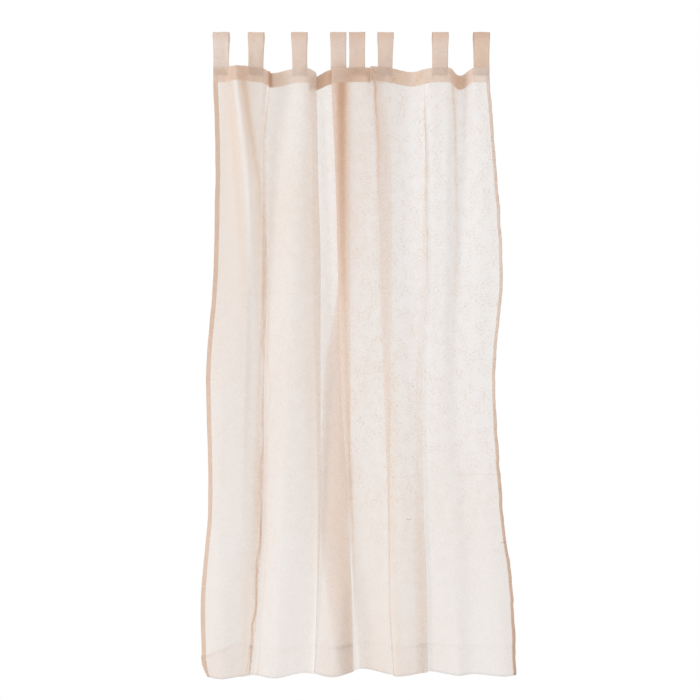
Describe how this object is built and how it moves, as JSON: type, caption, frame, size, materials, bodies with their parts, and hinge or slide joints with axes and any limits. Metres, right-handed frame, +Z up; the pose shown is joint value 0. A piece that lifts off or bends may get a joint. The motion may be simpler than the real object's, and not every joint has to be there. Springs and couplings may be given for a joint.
{
  "type": "chiffon curtain",
  "caption": "Sheer tab-top curtain panel, gathered in soft folds as it hangs from a rod, with a dense heading band, narrow side hems and a deep bottom hem.",
  "frame": {"origin": "on the axis of the rod that the loops hang on, at the middle of the hung width", "axes": "+Z up, +X along the rod to the right as seen from the front, and the front faces -Y"},
  "size_m": [1.0737, 0.1494, 2.1885],
  "materials": {
    "sheer_cloth": "sheer woven chiffon with fine slubs",
    "heading_cloth": "matt, dense folded chiffon",
    "loop_cloth": "matt, dense folded chiffon"
  },
  "bodies": {
    "root": {"curtain_panel": "sheer_cloth", "heading_band": "heading_cloth", "tab_loop_1": "loop_cloth", "tab_loop_2": "loop_cloth", "tab_loop_3": "loop_cloth", "tab_loop_4": "loop_cloth", "tab_loop_5": "loop_cloth", "tab_loop_6": "loop_cloth", "tab_loop_7": "loop_cloth", "tab_loop_8": "loop_cloth"}
  },
  "joints": []
}
